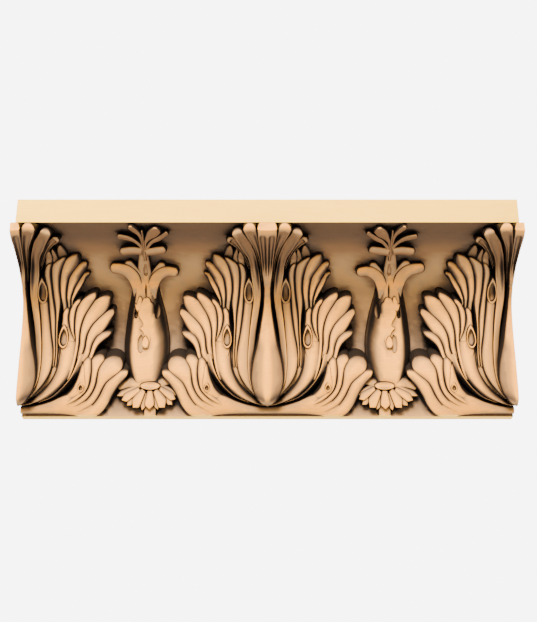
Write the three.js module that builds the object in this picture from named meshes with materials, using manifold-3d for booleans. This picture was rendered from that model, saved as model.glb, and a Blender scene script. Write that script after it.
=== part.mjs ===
// A carved wooden frieze moulding that runs along a wall: plain top band, hollow face, leaves and calyx ornaments.
// Millimetres. X runs along the moulding, Z is up, and the front faces -Y. The flat wall face is the plane y = 0.
import * as THREE from "three";
import { mergeVertices } from "three/addons/utils/BufferGeometryUtils.js";
import Module from "manifold-3d";

// Moulding, from the length shown down to the thinnest wood.
const repeatLength = 193.5;
const repeats = 2;
const height = 150;
const bandHeight = 20;
const bandLip = 10;
const hollowRadius = 70;
const wallThickness = 7;
const hollowThickness = 11;

// Leaf and calyx relief.
const carvingScale = Math.min(1, (0.92 * height) / 138);
const lobeCrown = 1.3;
const buried = 4;
const alongSteps = 4;

const length = repeatLength * repeats;
const top = height / 2;
const bandBottom = top - bandHeight;
const hollowY = -(wallThickness + hollowRadius);
const hollowZ = bandBottom - hollowRadius;
const slope = Math.SQRT1_2;

// The carving stands straight out from the hollow at 45 degrees. A point is given by x, by its reach up and out
// from the hollow's centre, and by its lift, measured forward and down.
function atRelief(x, reach, lift) {
  return [x, hollowY - slope * (reach + lift), hollowZ + slope * (reach - lift)];
}

// Lift of the plain moulding at a given reach: lower wall, hollow, underside of the band, band.
function groundLift(reach) {
  const wall = -(hollowRadius / slope) - reach;
  const soffit = reach - hollowRadius / slope;
  const joint = hollowRadius * slope;
  const band = bandLip / slope - reach;
  if (reach < -joint) return wall;
  if (reach < joint) return -Math.sqrt(hollowRadius ** 2 - reach ** 2);
  return Math.min(soffit, band);
}

// Straight-line reading of a short table of [reach, value] rows.
function read(table, reach) {
  const rows = table.map(([at, value]) => [at * carvingScale, value]);
  if (reach <= rows[0][0]) return rows[0][1];
  for (let i = 1; i < rows.length; i += 1) {
    if (reach <= rows[i][0]) {
      const share = (reach - rows[i - 1][0]) / (rows[i][0] - rows[i - 1][0]);
      return THREE.MathUtils.lerp(rows[i - 1][1], rows[i][1], share);
    }
  }
  return rows[rows.length - 1][1];
}

// How far the leaf stands off the ground near its middle and at its rim, and where the rim is.
const middleLift = [[-94, 5], [-80, 13], [-70, 22], [-40, 24], [-20, 21], [0, 17.5], [24, 14.5]];
const rimLift = [[-88, 4], [-60, 13], [-10, 11.5], [4, 6], [30, 6]];
const rimReach = [[-85, 62], [-60, 80], [-45, 70], [-10, 68], [5, 50], [30, 42]];

function leafLift(x, reach) {
  const share = Math.min(1, Math.abs(x) / (read(rimReach, reach) * carvingScale)) ** 2.5;
  const proud = THREE.MathUtils.lerp(read(middleLift, reach), read(rimLift, reach), share);
  return groundLift(reach) + proud * carvingScale;
}

// Each fan of lobes grows from a root: [turn from upright in degrees, length, half width].
const fans = [
  {
    root: [42, -88], bow: -0.14, layer: 2.5, lobes: [
      [14, 39, 5.2], [28, 43, 6.2], [43, 48, 8.2], [57, 50, 5.6],
    ],
  },
  {
    root: [43, -52], bow: 0.17, layer: 2, lobes: [
      [-15, 35, 4], [1, 40.5, 5], [16, 46, 6], [31, 47, 6.6], [43, 39, 5.2], [58, 29, 4.2],
    ],
  },
  {
    root: [29, -32], bow: 0.12, layer: 0, lobes: [
      [-9, 51, 4.2], [4, 54, 5.2], [14, 57, 5.6], [23, 52, 4.6], [29, 45, 3.6],
    ],
  },
];

// Long ribs of one half leaf, from the base up: points [x, reach, lift above the leaf, half width].
const ribs = [
  [[3, -85, 1, 3], [16, -76, 2, 4.5], [21, -55, 1, 5.2], [17, -30, 1, 5], [14, -13, 1, 3.6]],
  [[4, -84, 3, 2.4], [13, -66, 1, 2.6], [13.5, -40, 0, 3], [10.5, -14, 1, 2.6], [8.6, 6, 1, 2.4]],
  [[12, -84, -1, 3], [23, -68, -1, 4.2], [26, -45, 0, 4], [25, -22, 0, 4]],
  [[2, -91, 0, 4], [24, -80, -1, 6], [35, -65, -1, 7.5], [37, -48, -0.5, 8]],
  [[0, -95, 3, 4], [22, -91, 2, 6], [44, -87, 2, 8], [58, -84, 1, 7]],
];

// Petals at the leaf's head: points [x, reach, lift measured from the hollow's centre, half width].
const headPetals = [
  [[3.8, 7, -47.2, 1.6], [5.4, 24, -43.5, 1.8], [8.4, 39.4, -33, 3], [13.3, 57, -24.5, 5.4]],
  [[8, -6, -49.5, 2.8], [9.4, 11, -51, 3], [11.6, 24, -48.6, 3.3], [16.4, 36.4, -42.6, 4.2], [24, 53, -37.8, 5.2]],
  [[14, 16, -54, 1.4], [20, 30, -49.5, 1.8], [30.4, 42, -47, 2.4]],
];
const midrib = [
  [0, -78, 3.6, 3], [0, -74.4, 5, 6.4], [0, -69, 4.6, 10.8], [0, -62, -0.8, 12.6], [0, -54, -8, 12.1],
  [0, -44, -17.2, 9.6], [0, -30, -30.8, 6], [0, -17, -41.1, 3.8], [0, -2, -45.4, 2.8],
];
const headMiddle = [
  [0, -8, -45.4, 2.6], [0, 12, -43.4, 3.3], [0, 32, -34.8, 4.9], [0, 50, -23.6, 6.9], [0, 57, -22.2, 7.6],
];

// Calyx ornament, measured from its own axis: points [x, reach, lift above the ground, half width].
const calyxBlades = [
  { steps: 3, row: [[4.5, -94, 4.4, 4.8], [4.5, -80, 6.4, 4.5]] },
  { row: [[-8, -12, 8.6, 4.6], [-8.4, -2, 9, 4.8], [-11.6, 6.4, 9, 5.2], [-18, 11.4, 9, 5], [-29.4, 12.8, 8.5, 4.2]] },
  { row: [[4.4, -12, 8.6, 4.5], [5, -3, 9, 4.7], [8.6, 5.2, 9, 4.6], [16, 9.8, 9, 4.4], [26, 8.2, 8.5, 3.8]] },
  { steps: 4, row: [[-6, 2, 7.5, 4], [-10.4, 10, 7.5, 4.2], [-16.4, 18.4, 7, 4.2]] },
  { steps: 4, row: [[5, 2, 7.5, 4], [9, 9.6, 7.5, 3.8], [14.8, 16.6, 7, 3.6]] },
  { steps: 4, row: [[-1.6, 4, 7.2, 5.8], [-1.4, 26, 7.6, 3.8], [-1.2, 34, 7.4, 2.4]] },
  { steps: 4, row: [[-2.4, 28.4, 9, 3.2], [-10, 29.2, 9, 3.6], [-20.2, 27.6, 8.5, 3.4]] },
  { steps: 4, row: [[0.8, 27.4, 9, 3], [8, 28.8, 9, 3.5], [17.4, 30, 8.5, 3.5]] },
  { steps: 5, row: [[-0.6, 26, 8.2, 1.6], [-6.4, 39.8, 8, 2], [-12, 43.6, 7.5, 2.4], [-20.4, 46, 7, 2.4]] },
  { steps: 4, row: [[-0.6, 28, 8.2, 1.5], [-2.4, 47, 7.8, 1.8], [-9.8, 57.4, 7, 2.2]] },
  { steps: 4, row: [[0.4, 28, 8.2, 1.5], [3.6, 43, 7.8, 2.6], [14, 56, 7, 4]] },
  { steps: 4, row: [[0.6, 26, 8.2, 1.6], [6, 39.4, 7.8, 1.8], [18.6, 51, 7, 1.7]] },
  { steps: 3, row: [[-3, -70, 9.6, 2.2], [-12, -69.6, 8.6, 2.6], [-22, -72.6, 6.6, 2.2]] },
  { steps: 3, row: [[11, -70, 9.6, 2.2], [19, -68, 8.6, 2.6], [27.5, -71, 6.6, 2.2]] },
];
const cup = [
  [4, -71, 6, 8.4], [2.9, -63, 9.8, 13.6], [1.2, -49, 11.4, 16.6], [0.4, -36, 11.2, 15.6], [-0.6, -21, 10.2, 13.2],
  [-1.2, -8, 8.6, 11.4], [-1.4, 5, 7, 9.8],
];
const daisy = {
  x: 4.2, reach: -71, turns: [-111, -135, 180, 136, 111], long: [23.3, 17.9, 13.4, 17.4, 21.5], half: 3.6,
};

const wasm = await Module();
wasm.setup();

// A closed three.js geometry as a solid for joining and cutting.
function solidFrom(geometry) {
  geometry.deleteAttribute("normal");
  geometry.deleteAttribute("uv");
  const merged = mergeVertices(geometry, 1e-4);
  const mesh = new wasm.Mesh({
    numProp: 3,
    vertProperties: new Float32Array(merged.attributes.position.array),
    triVerts: new Uint32Array(merged.index.array),
  });
  return new wasm.Manifold(mesh);
}

// A blade follows its row of points, keeps its half widths, is crowned across, and reaches back into the ground.
function blade(row, options) {
  const { liftAt, at, side, across = 2, steps = alongSteps, crown = lobeCrown, round = true } = options;
  const points = row.map(([x, reach]) => new THREE.Vector3(x * carvingScale, reach * carvingScale, 0));
  const curve = new THREE.CatmullRomCurve3(points, false, "centripetal");
  const box = new THREE.BoxGeometry(1, 1, 1, across, steps, 1);
  const position = box.attributes.position;
  const last = row.length - 1;
  for (let i = 0; i < position.count; i += 1) {
    const even = position.getY(i) + 0.5;
    const t = round ? 1 - (1 - even) ** 1.5 : even;
    const s = 2 * position.getX(i) * side;
    const k = Math.min(last - 1, Math.floor(t * last));
    const share = t * last - k;
    const mix = (column) => THREE.MathUtils.lerp(row[k][column], row[k + 1][column], share);
    const centre = curve.getPoint(t);
    const along = curve.getTangent(t);
    const tip = round ? Math.sqrt(Math.max(0.16, 1 - Math.max(0, (t - 0.72) / 0.28) ** 2)) : 1;
    const half = mix(3) * tip * carvingScale;
    const x = centre.x + along.y * half * s;
    const reach = centre.y - along.x * half * s;
    const drop = (crown * s * s + (round ? 1.2 * Math.max(0, (t - 0.8) / 0.2) ** 2 : 0)) * carvingScale;
    const front = liftAt(centre.x, centre.y, mix(2)) - drop;
    const lift = position.getZ(i) > 0 ? front : groundLift(reach) - buried;
    const [px, py, pz] = atRelief(at + side * x, reach, Math.max(lift, groundLift(reach) - buried));
    position.setXYZ(i, px, py, pz);
  }
  return solidFrom(box);
}

const onLeaf = (x, reach, lift) => leafLift(x, reach) + lift * carvingScale;
const onGround = (x, reach, lift) => groundLift(reach) + lift * carvingScale;
const fromCentre = (x, reach, lift) => lift * carvingScale;

// Points of one fan lobe: a quadratic curve from the root to its tip, bowed to one side.
function lobeRow(fan, [turn, long, half]) {
  const angle = THREE.MathUtils.degToRad(turn);
  const tip = [fan.root[0] + long * Math.sin(angle), fan.root[1] + long * Math.cos(angle)];
  const bend = [
    (fan.root[0] + tip[0]) / 2 - fan.bow * long * Math.cos(angle),
    (fan.root[1] + tip[1]) / 2 + fan.bow * long * Math.sin(angle),
  ];
  return [0, 0.35, 0.7, 1].map((t) => {
    const spot = [0, 1].map((n) => (1 - t) ** 2 * fan.root[n] + 2 * t * (1 - t) * bend[n] + t * t * tip[n]);
    return [spot[0], spot[1], fan.layer, half * (0.55 + 0.45 * Math.min(1, t / 0.7))];
  });
}

function halfLeaf(at, side) {
  const place = { at, side };
  return [
    ...fans.flatMap((fan) => fan.lobes.map((lobe) => blade(lobeRow(fan, lobe), { ...place, liftAt: onLeaf }))),
    ...ribs.map((row) => blade(row, { ...place, liftAt: onLeaf, round: false, crown: 2 })),
    ...headPetals.map((row) => blade(row, { ...place, liftAt: fromCentre, crown: 0.8 })),
  ];
}

function leafMiddle(at) {
  const place = { at, side: 1, liftAt: fromCentre };
  return [
    blade(midrib, { ...place, across: 4, steps: 8, round: false, crown: 4.6 }),
    blade(headMiddle, { ...place, steps: 5, crown: -0.8 }),
  ];
}

function calyx(at, side) {
  const place = { at, side, liftAt: onGround };
  const petals = daisy.turns.map((turn, i) => {
    const angle = THREE.MathUtils.degToRad(turn);
    const spot = (long) => [daisy.x + long * Math.sin(angle), daisy.reach + long * Math.cos(angle)];
    return [[...spot(2), 12, 1.6], [...spot(daisy.long[i]), 10, daisy.half]];
  });
  return [
    ...calyxBlades.map(({ row, steps }) => blade(row, { ...place, steps, crown: 1 })),
    blade(cup, { ...place, across: 4, steps: 6, round: false, crown: 5 }),
    ...petals.map((row) => blade(row, { ...place, steps: 3, crown: 0.8 })),
  ];
}

// Plain moulding: one section, run along x.
function plainMoulding() {
  const backSum = hollowY + hollowZ + (hollowRadius + hollowThickness) / slope;
  const outline = new THREE.Shape();
  outline.moveTo(0, -top);
  outline.lineTo(0, backSum);
  outline.lineTo(backSum - top, top);
  outline.lineTo(hollowY - bandLip, top);
  outline.lineTo(hollowY - bandLip, bandBottom);
  outline.lineTo(hollowY, bandBottom);
  outline.absarc(hollowY, hollowZ, hollowRadius, Math.PI / 2, 0, true);
  outline.lineTo(-wallThickness, -top);
  outline.closePath();
  const run = new THREE.ExtrudeGeometry(outline, { depth: length, steps: 1, curveSegments: 12, bevelEnabled: false });
  const sections = new THREE.Matrix4().makeBasis(
    new THREE.Vector3(0, 1, 0), new THREE.Vector3(0, 0, 1), new THREE.Vector3(1, 0, 0),
  );
  return solidFrom(run.applyMatrix4(sections).translate(-length / 2, 0, 0));
}

function frieze() {
  const leaves = repeats + 1;
  const carvings = [];
  for (let i = 0; i < leaves; i += 1) {
    const at = (i - repeats / 2) * repeatLength;
    carvings.push(...leafMiddle(at));
    if (i > 0) carvings.push(...halfLeaf(at, -1));
    if (i < leaves - 1) carvings.push(...halfLeaf(at, 1));
    if (i < leaves - 1) {
      const middle = at + repeatLength / 2;
      carvings.push(...calyx(middle, middle < 0 ? 1 : -1));
    }
  }
  let solid = plainMoulding();
  for (const carving of carvings) solid = solid.add(carving);
  const depth = 3 * hollowRadius;
  const limits = new THREE.BoxGeometry(length, depth, height).translate(0, -depth / 2, 0);
  solid = solid.intersect(solidFrom(limits));
  const { vertProperties, triVerts } = solid.getMesh();
  const geometry = new THREE.BufferGeometry();
  geometry.setAttribute("position", new THREE.BufferAttribute(new Float32Array(vertProperties), 3));
  geometry.setIndex(new THREE.BufferAttribute(new Uint32Array(triVerts), 1));
  geometry.computeVertexNormals();
  return geometry;
}

const wood = new THREE.MeshStandardMaterial({ color: 0xd9a877, roughness: 0.6, metalness: 0 });
const moulding = new THREE.Mesh(frieze(), wood);
moulding.name = "frieze_moulding";
const part = new THREE.Group();
part.name = "frieze";
part.add(moulding);

export default part;
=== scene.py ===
import math

import bmesh
import bpy
import numpy as np
from mathutils import Matrix, Vector
from mathutils.bvhtree import BVHTree


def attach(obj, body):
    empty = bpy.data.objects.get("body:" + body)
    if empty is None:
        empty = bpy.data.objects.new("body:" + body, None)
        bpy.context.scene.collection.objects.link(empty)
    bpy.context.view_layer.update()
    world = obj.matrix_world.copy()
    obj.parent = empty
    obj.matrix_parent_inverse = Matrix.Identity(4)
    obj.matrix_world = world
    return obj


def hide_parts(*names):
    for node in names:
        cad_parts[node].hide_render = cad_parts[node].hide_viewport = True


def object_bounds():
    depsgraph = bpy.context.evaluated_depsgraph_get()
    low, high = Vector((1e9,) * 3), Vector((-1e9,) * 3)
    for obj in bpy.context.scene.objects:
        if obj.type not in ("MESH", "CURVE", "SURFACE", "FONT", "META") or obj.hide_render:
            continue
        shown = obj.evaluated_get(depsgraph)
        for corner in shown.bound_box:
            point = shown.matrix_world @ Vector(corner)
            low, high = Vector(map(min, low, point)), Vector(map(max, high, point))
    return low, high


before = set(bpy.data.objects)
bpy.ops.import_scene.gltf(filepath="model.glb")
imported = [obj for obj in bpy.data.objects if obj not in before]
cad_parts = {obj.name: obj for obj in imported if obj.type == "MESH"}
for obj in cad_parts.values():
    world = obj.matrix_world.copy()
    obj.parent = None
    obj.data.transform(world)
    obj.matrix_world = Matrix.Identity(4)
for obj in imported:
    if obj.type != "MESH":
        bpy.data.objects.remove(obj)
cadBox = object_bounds()
mm = 0.001
slope = math.sqrt(0.5)

# Plain moulding, in millimetres, in the CAD frame.
mouldingSpec = {
    "repeatLength": 193.5,
    "repeats": 2,
    "height": 150.0,
    "bandHeight": 20.0,
    "bandLip": 10.0,
    "hollowRadius": 70.0,
    "wallThickness": 7.0,
    "hollowThickness": 11.0,
    "hollowSteps": 60,
    "wallSteps": 10,
    "lengthSteps": 96,
    "toolMark": 0.012,
}
length = mouldingSpec["repeatLength"] * mouldingSpec["repeats"]
top = mouldingSpec["height"] / 2
bandBottom = top - mouldingSpec["bandHeight"]
radius = mouldingSpec["hollowRadius"]
hollowY = -(mouldingSpec["wallThickness"] + radius)
hollowZ = bandBottom - radius


# The carving stands straight out at 45 degrees: x, reach up and out, lift forward and down.
def atRelief(x, reach, lift):
    return np.stack([x, hollowY - slope * (reach + lift), hollowZ + slope * (reach - lift)], -1)


def groundLift(reach):
    reach = np.asarray(reach, float)
    joint = radius * slope
    wall = -radius / slope - reach
    hollow = -np.sqrt(np.maximum(radius ** 2 - reach ** 2, 0))
    upper = np.minimum(reach - radius / slope, mouldingSpec["bandLip"] / slope - reach)
    return np.where(reach < -joint, wall, np.where(reach < joint, hollow, upper))


# Leaf sheet: [reach, value] rows for how far it stands off the ground and where its rim is.
leafSpec = {
    "middleLift": [[-94, 1.5], [-90, 3], [-86, 6], [-80, 11], [-74, 16], [-68, 20], [-62, 22.5], [-50, 24.5],
                   [-38, 24.5], [-26, 21.5], [-14, 19], [-2, 17.5], [10, 17], [22, 14.5]],
    "rimLift": [[-92, 1], [-84, 4], [-72, 9], [-60, 13], [-10, 11.5], [4, 6], [30, 6]],
    "rimReach": [[-85, 68], [-60, 82], [-45, 70], [-10, 68], [5, 50], [30, 44]],
    "fallPower": 2.5,
}


def readTable(table, reach):
    rows = np.array(table, float)
    return np.interp(reach, rows[:, 0], rows[:, 1])


def leafLift(x, reach):
    share = np.minimum(1, np.abs(x) / readTable(leafSpec["rimReach"], reach)) ** leafSpec["fallPower"]
    middle = readTable(leafSpec["middleLift"], reach)
    rim = readTable(leafSpec["rimLift"], reach)
    return groundLift(reach) + middle + (rim - middle) * share


# Smooth curve through a row of points (Catmull-Rom with equal steps).
def curveThrough(rows, t):
    rows = np.array(rows, float)
    ends = [2 * rows[0] - rows[1]] + list(rows) + [2 * rows[-1] - rows[-2]]
    p = np.array(ends)
    u = np.clip(t, 0, 1) * (len(rows) - 1)
    k = np.minimum(u.astype(int), len(rows) - 2)
    f = (u - k)[:, None]
    a, b, c, d = p[k], p[k + 1], p[k + 2], p[k + 3]
    return 0.5 * (2 * b + (c - a) * f + (2 * a - 5 * b + 4 * c - d) * f ** 2
                  + (3 * b - a - 3 * c + d) * f ** 3)


bladeSpec = {
    "rimRound": 1.0,       # mm of drop where a lobe's face rolls into its side wall
    "rimWidth": 1.5,       # mm of the face that rolls over
    "rimShare": 0.45,      # the most of the half width that the roll takes
    "lobeCrown": 1.5,      # mm higher along a lobe's middle than at its grooves
    "overlap": 0.25,       # mm that neighbours reach into each other
    "buried": 4.0,         # mm that a body goes on under the ground
    "thinnest": 0.5,       # mm that it keeps of that
    "tipFrom": 0.9,        # a rounded tip starts this many half widths before its end
    "tipEnd": 0.05,        # share of its width left at the very end
    "tipRoll": 0.72,       # share of a tip past which its face rolls over
    "startFade": 3.0,      # a strip has risen to its height at one part in three of its length
    "steps": 24,
    "tipSteps": 8,
    "lineSteps": 40,       # places along a centre line before it is shared out evenly
    "curveSteps": 200,     # and along any curve while its length is measured
    "leastHalf": 0.02,     # mm
}
rimStations = np.array([0, 0.12, 0.35, 0.62, 1.0])
# How fast a flute comes in along a strip and ends, how round its end is, and how soon it is gone on the tip.
fluteSpec = {"startRate": 4, "endRate": 60, "endRound": 0.03, "tipRate": 5}


def rimWidths(half):
    return np.minimum(bladeSpec["rimWidth"], bladeSpec["rimShare"] * half)[:, None]


# Places across a blade from -1 to 1, gathered near both rims, for each half width in mm.
def stationsAcross(half, count):
    rim = rimWidths(half)
    edge = rim * rimStations[None, :] / half[:, None]
    inner = 1 - edge[:, -1:]
    face = np.linspace(-1, 1, count + 2)[1:-1]
    return np.concatenate([-1 + edge, face[None, :] * inner, (1 - edge)[:, ::-1]], 1)


def evenCurve(rows, count):
    fine = curveThrough(rows, np.linspace(0, 1, bladeSpec["curveSteps"]))
    run = np.concatenate([[0], np.cumsum(np.linalg.norm(np.diff(fine[:, :2], axis=0), axis=1))])
    at = np.linspace(0, run[-1], count)
    return np.stack([np.interp(at, run, fine[:, k]) for k in range(fine.shape[1])], 1)


# Share of a flute's depth along and across a strip.
def fluteFade(along, into, hollow, fluteFrom, fluteTo):
    ends = (fluteTo - fluteSpec["endRound"] * (1 - hollow) - along[:, None]) * fluteSpec["endRate"]
    starts = (along - fluteFrom)[:, None] * fluteSpec["startRate"]
    offTip = 1 - into[:, None] * fluteSpec["tipRate"]
    return np.clip(ends, 0, 1) * np.clip(starts, 0, 1) * np.clip(offTip, 0, 1)


# One strip of carving: a closed body between a left and a right groove, with an optional rounded tip.
# In mm: layer raises it, crown is how far its middle stands over its rims, flute is the depth of one or two
# hollows along it, and tipDrop, startDrop and rimRound are what it loses at its tip, start and rims.
# fluteFrom and fluteTo are shares of the length. offset, power, keel or fall shape the crown across it.
def strip(left, right, tip, liftAt, layer=0.0, crown=0.6, flute=0.0, flutes=1, offset=0.0, tipDrop=1.2,
          rimRound=bladeSpec["rimRound"], steps=bladeSpec["steps"], startDrop=0.0, fluteFrom=-1.0,
          fluteTo=1.0, power=2.0, keel=0.0, fall=None, across=5):
    lefts = evenCurve(left, steps + 1)
    rights = evenCurve(right, steps + 1)
    middle = (lefts + rights) / 2
    arm = (rights - lefts) / 2
    along = np.linspace(0, 1, steps + 1)
    into = np.zeros(steps + 1)
    if tip is not None:
        turn = np.linspace(0, math.pi / 2, bladeSpec["tipSteps"] + 1)[1:]
        reachOut = np.sin(turn)[:, None]
        tipPoint = np.array(list(tip) + list(middle[-1][2:]), float)
        middle = np.concatenate([middle, middle[-1] + (tipPoint - middle[-1]) * reachOut])
        arm = np.concatenate([arm, arm[-1] * np.maximum(np.cos(turn), bladeSpec["tipEnd"])[:, None]])
        along = np.concatenate([along, np.ones(len(turn))])
        into = np.concatenate([into, reachOut[:, 0]])
    wide = np.linalg.norm(arm[:, :2], axis=1)
    grown = (wide + bladeSpec["overlap"]) / np.maximum(wide, 1e-6)
    grown = np.where(into > 0, 1 + (grown - 1) * (1 - into), grown)
    half = np.maximum(wide * grown, bladeSpec["leastHalf"])
    s = stationsAcross(half, across)
    x = middle[:, 0:1] + arm[:, 0:1] * grown[:, None] * s
    reach = middle[:, 1:2] + arm[:, 1:2] * grown[:, None] * s
    over = np.clip(1 - (1 - np.abs(s)) * half[:, None] / rimWidths(half), 0, 1)
    tipOver = np.clip((into[:, None] - bladeSpec["tipRoll"]) / (1 - bladeSpec["tipRoll"]), 0, 1)
    over = np.maximum(over, tipOver)
    roll = rimRound * (1 - np.sqrt(np.maximum(1 - over ** 2, 0)))
    if flutes == 2:
        hollow = np.sin(math.pi * np.abs(s)) ** 2
    else:
        hollow = (1 - s ** 2) ** 1.5
    fluted = flute * hollow * fluteFade(along, into, hollow, fluteFrom, fluteTo)
    if callable(crown):
        crown = crown(half)[:, None]
    lost = fall(s) if fall else (np.sqrt((s - offset) ** 2 + keel ** 2) - keel) ** power
    profile = crown * lost + roll + fluted + tipDrop * into[:, None] ** 3
    profile = profile + startDrop * np.clip(1 - along[:, None] * bladeSpec["startFade"], 0, 1) ** 1.5
    own = middle[:, 2:3] + arm[:, 2:3] * s if middle.shape[1] > 2 else 0 * s
    front = liftAt(own, x, reach) + layer - profile
    back = groundLift(reach) - bladeSpec["buried"]
    front = np.maximum(front, back + bladeSpec["thinnest"])
    return gridBody(atRelief(x, reach, front), atRelief(x, reach, back))


# A strip about a centre line: rows of [x, reach, lift, half width].
def blade(rows, liftAt, roundTip=True, **options):
    rows = np.array(rows, float)
    line = evenCurve(rows, bladeSpec["lineSteps"])
    way = np.gradient(line[:, :2], axis=0)
    way /= np.linalg.norm(way, axis=1)[:, None]
    across = np.stack([way[:, 1], -way[:, 0]], 1) * line[:, 3:4]
    tip = None
    if roundTip:
        gone = np.linalg.norm(line[:, :2] - line[-1, :2], axis=1)
        keep = gone >= bladeSpec["tipFrom"] * line[-1, 3]
        tip = line[-1, :2]
        line, across = line[keep], across[keep]
    left = np.concatenate([line[:, :2] - across, line[:, 2:3]], 1)
    right = np.concatenate([line[:, :2] + across, line[:, 2:3]], 1)
    return strip(left, right, tip, liftAt, **options)


# Closed body between a front grid and a back grid of the same shape.
def gridBody(front, back):
    rows, cols = front.shape[:2]
    verts = np.concatenate([front.reshape(-1, 3), back.reshape(-1, 3)])
    n = rows * cols
    faces = []
    for i in range(rows - 1):
        for j in range(cols - 1):
            a, b, c, d = i * cols + j, i * cols + j + 1, (i + 1) * cols + j + 1, (i + 1) * cols + j
            faces.append((a, b, c, d))
            faces.append((n + d, n + c, n + b, n + a))
        left, up = i * cols, (i + 1) * cols
        faces.append((left, up, n + up, n + left))
        faces.append((up + cols - 1, left + cols - 1, n + left + cols - 1, n + up + cols - 1))
    last = (rows - 1) * cols
    for j in range(cols - 1):
        faces.append((j + 1, j, n + j, n + j + 1))
        faces.append((last + j, last + j + 1, n + last + j + 1, n + last + j))
    return verts, faces


def makeObject(name, body, at=0.0, side=1):
    verts, faces = body
    verts = verts.copy()
    verts[:, 0] = at + side * verts[:, 0]
    if side < 0:
        faces = [tuple(reversed(face)) for face in faces]
    mesh = bpy.data.meshes.new(name)
    mesh.from_pydata((verts * mm).tolist(), [], faces)
    mesh.update()
    thing = bpy.data.objects.new(name, mesh)
    bpy.context.scene.collection.objects.link(thing)
    return thing


# Joins or cuts many closed bodies into one, and removes the helpers.
def combine(base, others, operation):
    group = bpy.data.collections.new("operands")
    bpy.context.scene.collection.children.link(group)
    for other in others:
        for owner in list(other.users_collection):
            owner.objects.unlink(other)
        group.objects.link(other)
    cut = base.modifiers.new("join", "BOOLEAN")
    cut.operation = operation
    cut.solver = "MANIFOLD"
    cut.operand_type = "COLLECTION"
    cut.collection = group
    graph = bpy.context.evaluated_depsgraph_get()
    mesh = bpy.data.meshes.new_from_object(base.evaluated_get(graph))
    base.modifiers.clear()
    old = base.data
    base.data = mesh
    bpy.data.meshes.remove(old)
    for other in others:
        data = other.data
        bpy.data.objects.remove(other)
        if data.users == 0:
            bpy.data.meshes.remove(data)
    bpy.data.collections.remove(group)
    return base


def copyOf(source, at, side):
    mesh = source.data.copy()
    mesh.transform(Matrix(((side, 0, 0, at * mm), (0, 1, 0, 0), (0, 0, 1, 0), (0, 0, 0, 1))))
    if side < 0:
        mesh.flip_normals()
    thing = bpy.data.objects.new(source.name, mesh)
    bpy.context.scene.collection.objects.link(thing)
    return thing


def onLeaf(own, x, reach):
    return leafLift(x, reach) + own


def onGround(own, x, reach):
    return groundLift(reach) + own


def fromCentre(own, x, reach):
    return own


# Side lobes of the half leaf, read as grooves from the stem to the notch, [x, reach] each.
# A lobe lies between two neighbouring grooves and ends in its rounded tip. Where a lobe's left groove comes
# from elsewhere than its neighbour's right one, otherStart holds its first points.
upperFan = {
    "layer": 0.0,
    "grooves": [
        [[23.4, -56], [24, -48], [23.3, -41.7],
         [21.8, -35], [20.4, -26.7], [19.3, -18.3], [18.7, -10], [17.9, -1.7], [16.7, 5], [16.3, 10.5],
         [17.2, 14.5]],
        [[25.4, -56], [25.9, -48], [25.6, -40],
         [25.2, -33.3], [24.8, -25], [24, -17.5], [22.9, -10], [22.1, -1.7], [21.9, 6.7], [22.3, 13.3],
         [23.3, 17.6]],
        [[27.2, -56], [27.6, -48], [27.2, -40],
         [26.8, -30], [27.6, -22], [28.8, -14], [28.4, -8], [27.9, -3.3], [28.2, 3.3], [29.2, 9.2],
         [31.2, 15.8], [33.6, 20.4]],
        [[34, -22], [33.6, -14], [33.2, -10], [33.3, -5], [34.2, 0.8], [35.8, 5.8], [39.2, 10.8], [43, 15.4]],
        [[36.5, -20], [36.6, -11.7], [37.9, -6.7], [40, -1.7], [43.3, 3.3], [46.5, 7.8]],
        [[38, -19], [38.6, -12.5], [40, -9.6], [42.5, -5.8], [45.4, -1.7], [48.3, 3.3]],
    ],
    "otherStart": {2: [[30, -24], [29.6, -15.8], [28.6, -10]]},
    "tips": [[20.4, 18.8], [31.6, 23.4], [43.2, 24.8], [49.8, 16.6], [51.2, 7.8]],
    "springDrop": 3.0,     # mm that a lobe starts below the stem it springs from
}
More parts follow.
